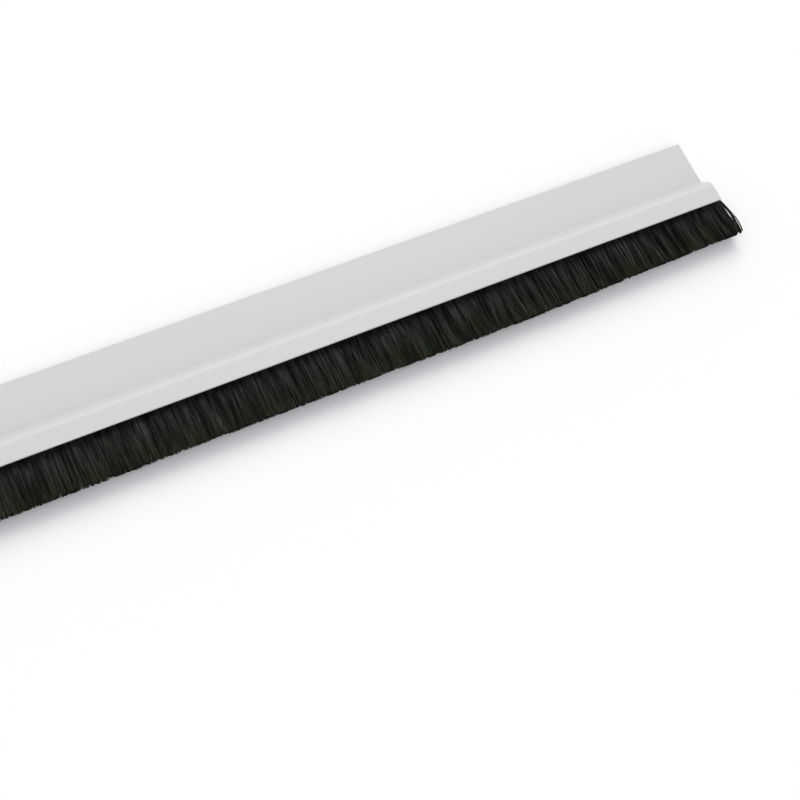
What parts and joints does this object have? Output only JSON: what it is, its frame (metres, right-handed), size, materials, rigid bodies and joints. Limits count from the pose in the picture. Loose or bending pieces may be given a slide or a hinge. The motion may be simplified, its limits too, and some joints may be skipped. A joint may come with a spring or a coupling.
{
  "type": "door bottom brush",
  "caption": "Stick-on rigid plastic strip with a flat flange, a sloping shoulder and a slotted holder for a black nylon brush that seals the gap under a door.",
  "frame": {"origin": "middle of the back, on the face of the liner that covers the adhesive tape", "axes": "+X along the strip, +Y up the door, +Z out of the door's face"},
  "size_m": [1.0025, 0.038, 0.0074],
  "materials": {
    "carrier": "smooth matte extruded rigid PVC, pale grey-white",
    "channel": "dull galvanised strip, folded",
    "wire": "drawn galvanised wire",
    "filaments": "black nylon filaments, trimmed straight",
    "foam": "closed-cell foam tape, white",
    "liner": "silicone-coated release paper, pale yellow"
  },
  "bodies": {
    "root": {"carrier_profile": "carrier", "brush_channel": "channel", "core_wire": "wire", "bristles": "filaments", "adhesive_tape": "foam", "release_liner": "liner"}
  },
  "joints": []
}
